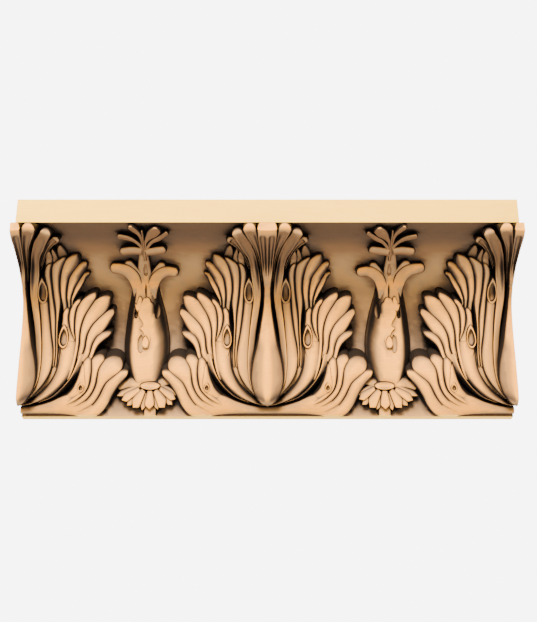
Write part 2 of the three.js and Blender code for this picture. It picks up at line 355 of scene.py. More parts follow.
middleFan = {
    "layer": 2.0,
    "springDrop": 2.6,
    "lobes": [
        ([[31.6, -62], [31.4, -54], [30, -46], [28.4, -38], [29.3, -31], [30, -26], [30.2, -21.5]],
         [[35, -62], [37.6, -54], [39.6, -46], [40.9, -39.5], [38.7, -36.2], [36.7, -31.7], [35.4, -26.7],
          [35.2, -22.5], [35.8, -19]], [33, -16.8]),
        ([[40.8, -40], [38.7, -36.2], [36.7, -31.7], [35.4, -26.7], [35.2, -22.5], [35.9, -18.6],
          [37.4, -15.6]],
         [[41.2, -40], [40.6, -35.8], [40, -31.7], [40, -25.8], [40.8, -20], [42.5, -15.4], [44.6, -12.6]],
         [42, -10.6]),
        ([[35, -64], [38.2, -56], [40, -48], [41, -40], [40.6, -35.8], [40, -31.7], [40, -25.8], [40.8, -20],
          [42.5, -15.4], [44.8, -12.2]],
         [[38.6, -64], [41.6, -56], [43.4, -48], [44.2, -41], [44.5, -34.2], [45.8, -28.3], [48.3, -22.5],
          [51.7, -17.5], [55, -13]], [55.2, -6.2]),
        ([[42.5, -51], [44.2, -42], [44.5, -34.2], [45.8, -28.3], [48.3, -22.5], [51.7, -17.5],
          [55.2, -12.8]],
         [[45.5, -52], [48.4, -45.6], [49.4, -40], [50.4, -35.8], [53.3, -30.8], [57.5, -26.7],
          [62.4, -22.9]], [67.8, -10.4]),
        ([[45.5, -52], [48.4, -45.6], [49.4, -40], [50.4, -35.8], [53.3, -30.8], [57.5, -26.7],
          [62.6, -22.8]],
         [[48.5, -54], [52.2, -49.4], [53.4, -46], [54.7, -42.3], [57.5, -38.3], [61.3, -36]],
         [70.8, -22.8]),
        ([[48.5, -54], [52.2, -49.4], [53.4, -46], [54.7, -42.3], [57.5, -38.3], [61.5, -35.9]],
         [[51, -56], [55.4, -50.6], [57.2, -46.8], [59.6, -43.7], [62.5, -41.6], [65, -40.2]],
         [68.8, -36.2]),
    ],
}
lowerFan = {
    "layer": 3.2,
    "grooves": [
        [[30, -82.5], [38, -78], [44.5, -73.6], [49, -70], [49.6, -66], [48.6, -61.7], [47.6, -57.5],
         [48.2, -53.6]],
        [[34, -84.6], [42, -79.6], [48, -75.5], [52, -71.5], [54.2, -66.5], [55.1, -61], [55.2, -56.7],
         [54.8, -52.2]],
        [[38, -87], [46, -82.4], [52.4, -78], [56.5, -73], [59, -67.5], [60, -62], [61.3, -57],
         [64.8, -52.8]],
        [[42, -89.6], [50, -86.4], [57, -82], [61.5, -76.5], [64.6, -70.8], [67.5, -66.7], [72.5, -63.3],
         [77.2, -60.2]],
        [[46, -92.4], [56, -91.5], [63, -88.5], [68.3, -83], [71, -78], [74.5, -72.7], [78.5, -68],
         [81.2, -65.2]],
    ],
    "otherStart": {},
    "tips": [[51.6, -49.8], [60.6, -48.8], [76.6, -52.4], [83.4, -60.4]],
    "springDrop": 1.6,
}
# Long ribs: left groove, right groove, lift above the leaf, crown, shift of the crown. A third number
# in a point is its own lift on top of that.
ribSpec = {
    "eyeRib": ([[0, -78], [4.8, -76.2], [8.3, -72.8], [10.7, -69], [13.5, -62.4], [14.6, -56], [14.8, -50],
                [14.4, -41], [13.2, -30], [12.2, -21.5], [11.2, -13], [11, -8]],
               [[0, -79.8], [5.4, -78.2], [10.9, -74], [15.2, -69.8], [19, -65.6], [22.8, -59], [24.3, -52],
                [23.9, -46], [23.2, -41.7], [21.7, -35], [20.3, -26.7], [19.2, -18.3], [18.6, -10], [18, -5]],
               0.8, 1.6, 0),
    "valley": ([[0, -79.4], [5, -78], [10.4, -74], [14.6, -70], [18.4, -65.8], [22.2, -59], [23.6, -52],
                [23.6, -44]],
               [[0, -82], [6.4, -80.6], [13.6, -76.6], [20, -70], [25.4, -62], [28.4, -54], [29.6, -44]],
               -4.5, 0.4, 0),
    "stem": ([[0, -80.9], [6, -79.7], [13.2, -75.2], [18.4, -70.6], [23, -65.4], [27, -58.5], [28.6, -52],
              [28.8, -44], [28.2, -37]],
             [[0, -82.4], [7, -81.6], [15.4, -79.6], [24, -76], [32.4, -70], [39, -63], [43, -55.6],
              [45, -48], [45.6, -41]],
             2.4, 4.6, -0.1),
    "flank": ([[14, -79.6, 1.6], [24, -75.6, 2], [32, -69.6, 2.2], [38.4, -62.8, 2], [42.6, -55.4, 1.6],
               [44.8, -48, 1]],
              [[16, -80.8, -3], [26.5, -78, -6], [36, -72.4, -7], [44, -65, -7], [51, -58, -6],
               [58, -50.4, -5]],
              0.4, 0.6, -0.3),
    "apron": ([[28, -80, -5], [36, -74.6, -1.6], [40.8, -69.8], [43.6, -65], [45.4, -60], [46.4, -56],
               [47.4, -52.6]],
              [[33, -83, -5], [42, -77.4, -1.6], [48, -72.6], [51, -69], [51.4, -65], [50.4, -60.6],
               [49.8, -56]],
              3.4, 1.2, 0.3),
    "root": ([[0, -83.8], [7, -83.4], [15.4, -82], [24, -79.6], [32.6, -76], [39, -74.4], [44, -75],
              [47, -77]],
             [[0, -88.6], [24, -88.8], [38, -89.8], [48, -91.4], [54, -91.8], [58.6, -91],
              [61.4, -89], [63, -87]],
             2.4, 1.6, 0.0),
}
# Small petals of the layer behind the upper fan: left groove, right groove, tip, lift above the leaf.
backPetalSpec = [
    ([[17.5, 8], [17.6, 16], [18.4, 23]], [[22, 8], [23, 16], [23.8, 23]], [21.2, 29.2], -2.6),
    ([[22, 8], [22.6, 16], [23.2, 24]], [[27, 8], [27.6, 16], [27.8, 22]], [24.4, 30.6], -3.8),
    ([[25, 8], [26.4, 18], [27.2, 26]], [[35, 8], [35, 16], [35, 22]], [30.6, 32.6], -6.0),
]
# The leaf's head: grooves as [x, reach, lift from the hollow's centre]. Middle and spoon are centre lines
# with a half width after the lift. The trim is the section that the head keeps to, from the side.
headSpec = {
    "side": ([[0, -77.8, 0], [4.4, -76.2, -1.4], [7.8, -72.8, -4], [10, -68.8, -8], [11.8, -62.4, -14.5],
              [11.6, -56, -20.5], [10.9, -50, -26], [9.8, -40, -33.5], [8.6, -30, -39.5], [7.2, -21.7, -44],
              [6, -13.3, -47], [5.4, -5, -49], [5.8, 3.3, -49.5], [6.6, 11.7, -49.5], [8, 20, -48.5],
              [9.3, 28, -46], [12, 36.7, -42], [14.5, 42.5, -39], [19.2, 49.4, -37.5]],
             [[0, -78.6, 2], [4.9, -76.6, 1], [8.5, -73.2, -1.5], [10.9, -69.3, -4.5], [13.8, -62.6, -11],
              [14.9, -56, -17], [15.1, -50, -22], [14.6, -41, -30], [13.4, -30, -37.6], [12.4, -21.7, -43.5],
              [11.3, -13.3, -48], [10.7, -6.7, -50], [11, -1.7, -51], [12, 5, -52], [12.6, 10, -52],
              [13, 15, -52], [13.6, 20, -50.5], [15.5, 26.5, -47.5], [19, 33, -44], [22.3, 39.4, -41],
              [27, 47.2, -38.5]],
             [23.8, 52]),
    "outer": ([[13.6, 18, -53], [17.5, 28, -49.5], [20.5, 33.6, -48], [24, 39.5, -47], [27.2, 42.6, -46.5]],
              [[14.4, 14, -55], [18.3, 24, -52], [22, 31, -50], [26, 35.5, -48.5], [30, 38.5, -47.5]],
              [32, 42]),
    "second": ([[3.2, 8, -46.5], [4.2, 20, -43.5], [5, 30, -38], [6.2, 40, -31.5], [7.8, 48.5, -26],
                [8.7, 56, -24]],
               [[4.4, 6, -48], [5.8, 20, -45.5], [7.4, 28, -41], [9.6, 36.7, -35.5], [12, 42.5, -31.5],
                [15.2, 49, -27.5], [18.1, 55.4, -25]], [13.3, 60.8]),
    "middle": [[0, -8, -45.4, 2.6], [0, 3, -45, 2.7], [0, 12, -43.4, 3.3], [0, 22, -40, 4],
               [0, 32, -34.8, 4.9], [0, 41, -29.6, 5.8], [0, 50, -23.6, 6.9], [0, 56, -22, 7.2],
               [0, 60, -22.4, 7.3], [0, 63.6, -23, 7.3]],
    "spoon": [[0, -77.6, 3.2, 0.8], [0, -76.6, 4.2, 3.2], [0, -74.4, 5, 6.4], [0, -71.2, 5.6, 9.2],
              [0, -68, 4.2, 11.2], [0, -63, 0.2, 12.6], [0, -58.7, -3.8, 12.7], [0, -54, -8, 12.1],
              [0, -49, -12.6, 11], [0, -40, -21.3, 8.3], [0, -32.3, -28.7, 6.4], [0, -27.4, -33.2, 5.4],
              [0, -16.9, -41.1, 3.5], [0, -8, -45, 2.8], [0, -1, -45.4, 2.6], [0, 6, -46.2, 2.4]],
    "spoonCrown": {"least": 0.8, "rate": 0.78, "from": 3, "over": 6},
    "trimWidth": 120,
    "trim": [[-77, 57], [-103.5, 46.2], [-130, 46.2], [-130, -100], [10, -100], [10, 57]],
}
# Teardrop eyes between the fans: centre, half width, size up and down, depth of the pit, height of the rim,
# its size as a share of the drop's, and how far it all stands above the leaf.
eyeSpec = [
    {"at": [14.6, -5.5], "half": 2.9, "up": 9.4, "down": 5.8, "pit": 4.2, "rim": 1.1, "rimScale": 1.5,
     "above": 0.0},
    {"at": [32, -37.6], "half": 2.9, "up": 7.4, "down": 4.2, "pit": 4, "rim": 1.1, "rimScale": 1.42,
     "above": 2.2},
    {"at": [47.4, -68.8], "half": 1.5, "up": 2.4, "down": 1.6, "pit": 1.8, "rim": 0.8, "rimScale": 1.8,
     "above": 3.0},
]


def fanLobes(fan):
    lobes = []
    for i, tip in enumerate(fan["tips"]):
        left = fan["grooves"][i]
        if i in fan["otherStart"]:
            start = fan["otherStart"][i]
            left = start + [point for point in left if point[1] > start[-1][1]]
        lobes.append((left, fan["grooves"][i + 1], tip))
    return lobes


def fanBodies(fan):
    lobes = fan["lobes"] if "lobes" in fan else fanLobes(fan)
    return [strip(flat(left), flat(right), tip, onLeaf, layer=fan["layer"], crown=bladeSpec["lobeCrown"],
                  startDrop=fan["springDrop"]) for left, right, tip in lobes]


# Drops: points round one, how pointed its upper end is, and the rings and walls of a pit cut in that shape.
dropSpec = {"points": 28, "point": 0.35, "pitRings": [1, 0.85, 0.6, 0.3], "pitWall": 0.55, "pitOver": 6}


# Outline of a drop: round below, pointed above.
def dropOutline(half, up, down):
    points = []
    for i in range(dropSpec["points"]):
        turn = 2 * math.pi * i / dropSpec["points"]
        across, along = math.sin(turn), -math.cos(turn)
        if along > 0:
            across *= (1 - along) ** dropSpec["point"] * (1 + dropSpec["point"] * along)
        points.append((half * across, along * (up if along > 0 else down)))
    return np.array(points)


# Closed round body of nested outlines. front and back give lift for each nesting scale.
def nestedBody(centre, outline, scales, front, back):
    centre = np.array(centre, float)
    count = len(outline)
    rings = [centre + outline * k for k in scales]
    flatPoints = np.concatenate(rings + [centre[None, :]])
    scaleOf = np.concatenate([np.full(count, k) for k in scales] + [[0.0]])
    x, reach = flatPoints[:, 0], flatPoints[:, 1]
    faceOn = atRelief(x, reach, front(x, reach, scaleOf))
    verts = np.concatenate([faceOn, atRelief(x, reach, back(x, reach, scaleOf))])
    n = len(flatPoints)
    faces = []
    for r in range(len(scales) - 1):
        for i in range(count):
            j = (i + 1) % count
            a, b, c, d = r * count + i, r * count + j, (r + 1) * count + j, (r + 1) * count + i
            faces += [(a, b, c, d), (n + d, n + c, n + b, n + a)]
    inner = (len(scales) - 1) * count
    for i in range(count):
        j = (i + 1) % count
        faces.append((inner + i, inner + j, n - 1))
        faces.append((2 * n - 1, n + inner + j, n + inner + i))
        faces.append((j, i, n + i, n + j))
    return verts, faces


# Rings of a raised drop from outside in, as (share of its size, share of its height). The first three are
# shares of the rim's own size.
ringSpec = {
    "outer": [(1, -0.5), (0.94, 0.45), (0.86, 1)],
    "rim": [(1.12, 1), (1, 0.8), (0.6, 0.8)],
    "knob": [(0.6, 1)],
}


def rimBody(eye, surface, inside):
    outline = dropOutline(eye["half"], eye["up"], eye["down"])
    rings = [(eye["rimScale"] * share, height) for share, height in ringSpec["outer"]] + ringSpec[inside]
    scales, heights = zip(*rings)

    def front(x, reach, scale):
        return surface(x, reach) + eye["rim"] * np.interp(scale, scales[::-1], heights[::-1])

    def back(x, reach, scale):
        return groundLift(reach) - bladeSpec["buried"]
    return nestedBody(eye["at"], outline, scales, front, back)


def pitBody(eye, surface):
    outline = dropOutline(eye["half"], eye["up"], eye["down"])

    wall = dropSpec["pitWall"]

    def front(x, reach, scale):
        return surface(x, reach) + dropSpec["pitOver"]

    def back(x, reach, scale):
        return surface(x, reach) - eye["pit"] * (wall + (1 - wall) * (1 - scale ** 2))
    return nestedBody(eye["at"], outline, dropSpec["pitRings"], front, back)


def flat(points):
    return [[*point, 0.0][:3] for point in points]


def extrudeSection(section, x0, x1):
    count = len(section)
    verts = [(x, y, z) for x in (x0, x1) for y, z in section]
    faces = [tuple(range(count - 1, -1, -1)), tuple(range(count, 2 * count))]
    for i in range(count):
        j = (i + 1) % count
        faces.append((i, j, count + j, count + i))
    return np.array(verts, float), faces


def aboveLeaf(up):
    def surface(x, reach):
        return leafLift(x, reach) + up
    return surface


# Keeps the head inside its section, so that it ends flat under the band.
def trimmed(head):
    half = headSpec["trimWidth"] / 2
    return combine(head, [makeObject("trim", extrudeSection(headSpec["trim"], -half, half))], "INTERSECT")


def halfLeaf():
    bodies = fanBodies(upperFan) + fanBodies(middleFan) + fanBodies(lowerFan)
    for left, right, layer, crown, shift in ribSpec.values():
        bodies.append(strip(flat(left), flat(right), None, onLeaf, layer=layer, crown=crown, offset=shift,
                            steps=34))
    for left, right, tip, layer in backPetalSpec:
        bodies.append(strip(flat(left), flat(right), tip, onLeaf, layer=layer))
    bodies += [rimBody(eye, aboveLeaf(eye["above"]), "rim") for eye in eyeSpec]
    things = [makeObject("leafBlade", body) for body in bodies]
    head = [makeObject("headPetal", strip(*headSpec["side"], fromCentre, crown=0.2, flute=2.2, tipDrop=3,
                                           fluteFrom=0.5, fluteTo=0.97, rimRound=0.6, steps=60, across=7)),
            makeObject("headPetal", strip(*headSpec["outer"], fromCentre, crown=0.2, flute=2.2, tipDrop=2,
                                           rimRound=0.6)),
            makeObject("headPetal", strip(*headSpec["second"], fromCentre, crown=0.2, flute=2.4, tipDrop=3,
                                           rimRound=0.6, across=7, fluteTo=0.96))]
    head = trimmed(combine(head[0], head[1:], "UNION"))
    leaf = combine(things[0], things[1:] + [head], "UNION")
    pits = [makeObject("pit", pitBody(eye, aboveLeaf(eye["above"]))) for eye in eyeSpec]
    return combine(leaf, pits, "DIFFERENCE")


# The spoon's crown grows with its width, so that its broad bowl is keeled and its neck is flat.
def spoonCrown(half):
    crown = headSpec["spoonCrown"]
    return crown["least"] + crown["rate"] * half * np.clip((half - crown["from"]) / crown["over"], 0, 1)


def leafMiddle():
    spoon = blade(headSpec["spoon"], fromCentre, crown=spoonCrown, power=1.1, roundTip=False, steps=64,
                  keel=0.14, across=15)
    head = blade(headSpec["middle"], fromCentre, crown=0.4, flute=2.4, flutes=2, steps=60, tipDrop=3,
                 rimRound=0.6, startDrop=2.6, across=13, fluteFrom=0.25, fluteTo=0.935)
    things = [makeObject("middleBlade", body) for body in (spoon, head)]
    return trimmed(combine(things[0], things[1:], "UNION"))


# Calyx ornament from its own axis: points [x, reach, lift above the ground, half width].
calyxSpec = {
    "blades": [
        [[4.5, -94, 4.4, 4.8], [4.5, -80, 6.4, 4.5]],
        [[-7.2, -14, 7.6, 4], [-7.6, -8, 8.4, 4.4], [-8.6, -1, 9, 4.8], [-11.6, 6.4, 9, 5.2],
         [-18, 11.4, 9, 5], [-29.4, 12.8, 8.5, 4.2]],
        [[3.4, -13, 7.6, 4], [3.8, -8, 8.4, 4.3], [5, -2, 9, 4.6], [8.6, 5.2, 9, 4.6], [16, 9.8, 9, 4.4],
         [26, 8.2, 8.5, 3.8]],
        [[-6, 2, 7.5, 4], [-10.4, 10, 7.5, 4.2], [-16.4, 18.4, 7, 4.2]],
        [[5, 2, 7.5, 4], [9, 9.6, 7.5, 3.8], [14.8, 16.6, 7, 3.6]],
        [[-1.6, 4, 7.2, 5.8], [-1.6, 16, 7.6, 5], [-1.4, 26, 7.6, 3.8], [-1.2, 34, 7.4, 2.4]],
        [[-2.4, 28.4, 9, 3.2], [-10, 29.2, 9, 3.6], [-20.2, 27.6, 8.5, 3.4]],
        [[0.8, 27.4, 9, 3], [8, 28.8, 9, 3.5], [17.4, 30, 8.5, 3.5]],
        [[-0.6, 24, 8.2, 1.4], [-2, 32, 8.2, 1.5], [-6.4, 38, 8, 1.7], [-12, 41.2, 7.5, 2.3],
         [-20.6, 43.4, 7, 2.4]],
        [[-0.6, 26, 8.2, 1.2], [-1, 37, 8.2, 1.3], [-2.4, 44.6, 7.8, 1.6], [-5.4, 49.4, 7.4, 2.3],
         [-10, 54.2, 7, 2.2]],
        [[0.4, 26, 8.2, 1.2], [1, 36, 8.2, 1.3], [3.4, 41, 7.8, 2.2], [7.6, 46, 7.5, 4.2],
         [13.4, 51.6, 7, 3.4]],
        [[0.6, 24, 8.2, 1.3], [2.2, 31.6, 8.2, 1.4], [6.4, 37.4, 7.8, 1.6], [12, 40.8, 7.5, 2.1],
         [20, 47.6, 7, 1.7]],
        [[-0.2, 20, 8.4, 0.9], [-0.2, 36, 8.8, 0.8], [0.1, 50, 8, 0.7]],
    ],
    "cup": [
        [3, -71.6, 7.4, 11.5], [2.4, -67.6, 9.8, 15], [1.2, -61, 12, 17.2], [0, -53, 13.2, 18.2],
        [-0.5, -45, 13.4, 18.2], [-0.9, -36, 13, 17], [-1.3, -25, 12, 15.2], [-1.5, -12, 10, 12.8],
        [-1.4, 2, 7.8, 11], [-1.5, 8, 6.8, 9.6],
    ],
    "cupCrown": 12.5,
    "cupFlat": [-0.5, 0.2],    # from where to where across it the cup is flat
    "cupRoll": 1.8,            # how late its sides roll down
    "neckReach": 8,            # the plain neck above the cup starts here
    "neckLift": 7.8,
    "dish": {"at": [4.2, -70.2], "half": 8.3, "rise": 2.3, "lift": 11.6, "edgeDrop": 0.9, "hollow": 0.9,
             "hollowFrom": 0.55, "rings": [1, 0.9, 0.8, 0.55, 0.25]},
    # Flower petals: start, tip, half width and lift.
    "petals": [
        ([4.2, -73.4], [4.2, -84.4], 3.8, 10.6), ([-0.7, -73.2], [-8.5, -83.6], 3.6, 10.4),
        ([8.2, -73.4], [16.3, -83.5], 3.6, 10.4), ([-4.3, -72.6], [-17.6, -79.3], 2.6, 10.2),
        ([12.1, -72.2], [24.3, -78.7], 2.4, 10.2),
    ],
    "betweenPetals": [
        ([1, -75.5], [-1.6, -85.8], 2.1, 8.2), ([7, -75.5], [10.8, -85.4], 2.1, 8.2),
        ([-5, -75], [-13.5, -83], 2.3, 8.2), ([13, -74.6], [21.9, -82.6], 2.3, 8.2),
        ([-5, -71.2], [-21.5, -77.2], 1.6, 8.8), ([13, -71], [26.5, -76.6], 1.6, 8.8),
    ],
    "wings": [
        [[-3, -70, 9.6, 2.2], [-12, -69.6, 8.6, 2.6], [-22, -72.6, 6.6, 2.2]],
        [[11, -70, 9.6, 2.2], [19, -68, 8.6, 2.6], [27.5, -71, 6.6, 2.2]],
    ],
    "leafPlate": [
        ([[-1.6, -45.6], [-0.8, -41], [-2.4, -36.4], [-5.4, -33.4], [-5, -32.9], [-2.6, -31.6], [-3.6, -28.6],
          [-6.2, -25], [-6.7, -21.6], [-5.6, -16.8], [-3.6, -13.8]],
         [[1.4, -46.4], [2.8, -42.4, -1.2], [4.6, -38, -2.4], [6, -33, -2.8], [6.4, -28, -2.8],
          [6, -23, -1.6], [5.8, -19, -0.2], [5.4, -16.6], [3, -14.4]], [0, -10.8]),
        ([[-8.6, -20.4], [-8, -15.6], [-7.2, -13]], [[-5.4, -20.4], [-4.6, -15.6], [-4, -13]], [-5.4, -10.2]),
        ([[-7.4, -21.6], [-9.4, -18.6]], [[-6, -19], [-8.2, -16.4]], [-11, -16.4]),
    ],
    "plateLift": 1.9,
    "holes": [
        {"at": [-8.9, -24.6], "half": 1.6, "up": 5, "down": 2.4, "pit": 5},
        {"at": [7.8, -22.8], "half": 2.3, "up": 6.4, "down": 5.4, "pit": 3.4},
        {"at": [-4.6, -44], "half": 2.7, "up": 6, "down": 6, "pit": 2.4},
        {"at": [-0.9, -6.5], "half": 0.7, "up": 6, "down": 5.5, "pit": 3},
        {"at": [-0.6, 8.6], "half": 1.6, "up": 8, "down": 2.6, "pit": 1.2},
    ],
    "knob": {"at": [-0.8, -43.2], "half": 2.9, "up": 5.6, "down": 3.5, "rim": 2.3, "rimScale": 1.0},
}


# Share of the cup's crown lost at a place across it, -1 to 1: flat in front, then rolling down at the sides.
def cupFall(s):
    low, high = calyxSpec["cupFlat"]
    beyond = np.maximum(np.maximum(s - high, 0) / (1 - high), np.maximum(low - s, 0) / (1 + low))
    return beyond ** calyxSpec["cupRoll"]


def cupLift(x, reach):
    rows = np.array(calyxSpec["cup"], float)
    centre, lift, half = (np.interp(reach, rows[:, 1], rows[:, k]) for k in (0, 2, 3))
    s = np.clip((x - centre) / half, -1.1, 1.1)
    return groundLift(reach) + lift - calyxSpec["cupCrown"] * cupFall(s)


def onCup(own, x, reach):
    return cupLift(x, reach) + own


def calyxFront(x, reach):
    neck = groundLift(reach) + calyxSpec["neckLift"]
    return np.where(reach > calyxSpec["neckReach"], neck, cupLift(x, reach))


# A petal widens to a shoulder, then closes to a blunt point: share of the way, of the width, and mm of drop.
petalShape = [(0, 0.5, 0), (0.35, 0.8, 0), (0.7, 1, 0.2), (0.84, 0.86, 0.5), (1, 0.1, 1.2)]


def petal(start, tip, half, lift):
    start, tip = np.array(start), np.array(tip)
    rows = [[*(start + share * (tip - start)), lift - drop, half * wide] for share, wide, drop in petalShape]
    return blade(rows, onGround, crown=0.7, roundTip=False, rimRound=0.8)


# The flower's flat middle, seen edge on, with a slight hollow in it.
def flowerDish():
    dish = calyxSpec["dish"]
    turns = np.linspace(0, 2 * math.pi, dropSpec["points"], endpoint=False)
    lens = np.stack([dish["half"] * np.sin(turns), -dish["rise"] * np.cos(turns)], 1)

    def front(x, reach, scale):
        edge = dish["edgeDrop"] * (scale == dish["rings"][0])
        middle = dish["hollow"] * (1 - scale) ** 0.5 * (scale <= dish["hollowFrom"])
        return groundLift(reach) + dish["lift"] - edge - middle

    def back(x, reach, scale):
        return groundLift(reach) - bladeSpec["buried"]
    return nestedBody(dish["at"], lens, dish["rings"], front, back)


def calyx():
    bodies = [blade(rows, onGround, crown=0.8) for rows in calyxSpec["blades"]]
    bodies.append(blade(calyxSpec["cup"], onGround, crown=calyxSpec["cupCrown"], fall=cupFall, roundTip=False,
                        steps=44, rimRound=0.8, across=19))
    bodies += [petal(*row) for row in calyxSpec["petals"] + calyxSpec["betweenPetals"]]
    bodies += [blade(rows, onGround, crown=0.8, tipDrop=0.6) for rows in calyxSpec["wings"]]
    for left, right, tip in calyxSpec["leafPlate"]:
        bodies.append(strip(flat(left), flat(right), tip, onCup, layer=calyxSpec["plateLift"], crown=0.2,
                            rimRound=0.5, tipDrop=0.2))
    bodies.append(flowerDish())
    things = [makeObject("calyxBlade", body) for body in bodies]
    whole = combine(things[0], things[1:], "UNION")
    pits = [makeObject("pit", pitBody(hole, calyxFront)) for hole in calyxSpec["holes"]]
    whole = combine(whole, pits, "DIFFERENCE")
    return combine(whole, [makeObject("knob", rimBody(calyxSpec["knob"], cupLift, "knob"))], "UNION")


def plainMoulding():
    backSum = hollowY + hollowZ + (radius + mouldingSpec["hollowThickness"]) / slope
    lip = mouldingSpec["bandLip"]
    section = [(0, -top), (0, backSum), (backSum - top, top), (hollowY - lip, top),
               (hollowY - lip, bandBottom), (hollowY, bandBottom)]
    corners = len(section)
    steps = mouldingSpec["hollowSteps"]
    for i in range(1, steps + 1):
        angle = math.pi / 2 * (1 - i / steps)
        section.append((hollowY + radius * math.cos(angle), hollowZ + radius * math.sin(angle)))
    steps = mouldingSpec["wallSteps"]
    for i in range(1, steps + 1):
        section.append((-mouldingSpec["wallThickness"], hollowZ + (-top - hollowZ) * i / steps))
    count = len(section)
    stations = np.linspace(-length / 2, length / 2, mouldingSpec["lengthSteps"] + 1)
    # A hundredth of a millimetre of tool mark keeps the joining from merging the ground into long slivers.
    verts = []
    for k, x in enumerate(stations):
        for i, (y, z) in enumerate(section):
            marked = corners < i < count - 1 and 0 < k < len(stations) - 1
            verts.append((x, y + mouldingSpec["toolMark"] * (-1) ** (i + k) * marked, z))
    last = (len(stations) - 1) * count
    faces = [tuple(range(count - 1, -1, -1)), tuple(range(last, last + count))]
    for k in range(len(stations) - 1):
        for i in range(count):
            j = (i + 1) % count
            a, b = k * count, (k + 1) * count
            faces.append((a + i, a + j, b + j, b + i))
    return makeObject("moulding", (np.array(verts), faces))


print("carving one half leaf")
leafHalf = halfLeaf()
print("half leaf", len(leafHalf.data.polygons))
middle = leafMiddle()
print("carving one calyx")
ornament = calyx()
print("calyx", len(ornament.data.polygons))

# Leaves stand at the ends and in between, a calyx between two leaves. The calyxes mirror about the middle.
print("joining the carving to the moulding")
pitch = mouldingSpec["repeatLength"]
leaves = [(i - mouldingSpec["repeats"] / 2) * pitch for i in range(mouldingSpec["repeats"] + 1)]
carvings = []
for i, at in enumerate(leaves):
    carvings.append(copyOf(middle, at, 1))
    if i > 0:
        carvings.append(copyOf(leafHalf, at, -1))
    if i < len(leaves) - 1:
        carvings.append(copyOf(leafHalf, at, 1))
        between = at + pitch / 2
        carvings.append(copyOf(ornament, between, 1 if between < 0 else -1))
frieze = combine(plainMoulding(), carvings, "UNION")
for helper in (leafHalf, middle, ornament):
    bpy.data.objects.remove(helper)

# Nothing stands out of the solid's own box.
low, high = np.array(cadBox)
limit = np.array([[x, y, z] for x in (low[0], high[0]) for y in (low[1], high[1]) for z in (low[2], high[2])])
limitFaces = [(0, 1, 3, 2), (4, 6, 7, 5), (0, 4, 5, 1), (2, 3, 7, 6), (0, 2, 6, 4), (1, 5, 7, 3)]
frieze = combine(frieze, [makeObject("limit", (limit / mm, limitFaces))], "INTERSECT")
frieze.name = "carvedFrieze"
triangles = sum(len(face.vertices) - 2 for face in frieze.data.polygons)
print("frieze faces", len(frieze.data.polygons), "triangles", triangles)

# Smooth faces with crisp edges where the carving turns sharply.
crispAngle = math.radians(38)
weld = 0.00001
shaped = bmesh.new()
shaped.from_mesh(frieze.data)
bmesh.ops.remove_doubles(shaped, verts=shaped.verts, dist=weld)
for face in shaped.faces:
    face.smooth = True
for edge in shaped.edges:
    edge.smooth = len(edge.link_faces) == 2 and edge.calc_face_angle(0) < crispAngle
shaped.to_mesh(frieze.data)
shaped.free()

# How closed in each point of the carving is: near crevices, and the wider hollows between the forms. These
# set the painted shade.
shadeSpec = {
    "directions": 40,
    "lift": 0.25,        # mm off the surface where the looking starts
    "near": 5.0,         # mm that count as a crevice
    "far": 24.0,         # mm that count as a hollow
    "proud": 6.0,        # mm off the ground where the ground's painted shade has gone
    "grazing": 0.05,     # looks flatter than this along the surface are left out
    "slack": 0.02,       # mm to and fro that tell the carved faces from the plain ones
}


def evenDirections(count):
    k = np.arange(count) + 0.5
    polar = np.arccos(1 - 2 * k / count)
    turn = math.pi * (1 + math.sqrt(5)) * k
    return np.stack([np.cos(turn) * np.sin(polar), np.sin(turn) * np.sin(polar), np.cos(polar)], 1)


# Looks out from each point all round. Things met count by how squarely they are looked at, and up to twice
# as much when they are close.
def measureRecess(mesh):
    count = len(mesh.vertices)
    places = np.empty(count * 3, np.float32)
    mesh.vertices.foreach_get("co", places)
    places = places.reshape(-1, 3).astype(float)
    normals = np.array([v.normal[:] for v in mesh.vertices])
    tree = BVHTree.FromPolygons(places.tolist(), [tuple(p.vertices) for p in mesh.polygons])
    directions = evenDirections(shadeSpec["directions"])
    facing = normals @ directions.T
    starts = places + normals * shadeSpec["lift"] * mm
    near, far = shadeSpec["near"] * mm, shadeSpec["far"] * mm
    crevice = np.zeros(count)
    hollow = np.zeros(count)
    looks = [Vector(way) for way in directions]
    cast = tree.ray_cast
    for i in range(count):
        start = Vector(starts[i])
        total = closeHits = farHits = 0.0
        for k in np.nonzero(facing[i] > shadeSpec["grazing"])[0]:
            weight = facing[i, k]
            total += weight
            gap = cast(start, looks[k], far)[3]
            if gap is not None:
                farHits += weight * (1 - 0.5 * gap / far)
                if gap < near:
                    closeHits += weight * (1 - 0.5 * gap / near)
        crevice[i] = closeHits / max(total, 1e-6)
        hollow[i] = farHits / max(total, 1e-6)
    reach = (places[:, 2] / mm - hollowZ - places[:, 1] / mm + hollowY) * slope
    lift = -(places[:, 1] / mm - hollowY + places[:, 2] / mm - hollowZ) * slope
    proud = np.clip((lift - groundLift(reach)) / shadeSpec["proud"], 0, 1)
    return crevice, hollow, proud


# The painted shade goes on carved faces only, not on the band, the cut ends, the top, the back or the
# underside.
# Faces on the slope of the back lie more than a millimetre behind the hollow.
def carvedFaces(mesh):
    middles = np.array([face.center[:] for face in mesh.polygons]) / mm
    x, y, z = middles.T
    slack = shadeSpec["slack"]
    inside = (np.abs(x) < length / 2 - slack) & (z < bandBottom + slack) & (z > -top + slack)
    inside &= y < -mouldingSpec["wallThickness"] + slack
    return inside & (y + z < hollowY + hollowZ + (radius + 1) / slope)


def keepValues(mesh, name, values, domain="POINT"):
    store = mesh.attributes.new(name, "FLOAT", domain)
    store.data.foreach_set("value", values.astype(np.float32))


print("measuring the recesses of", len(frieze.data.vertices), "points")
for name, values in zip(("crevice", "hollow", "proud"), measureRecess(frieze.data)):
    keepValues(frieze.data, name, values)
keepValues(frieze.data, "carved", carvedFaces(frieze.data), "FACE")


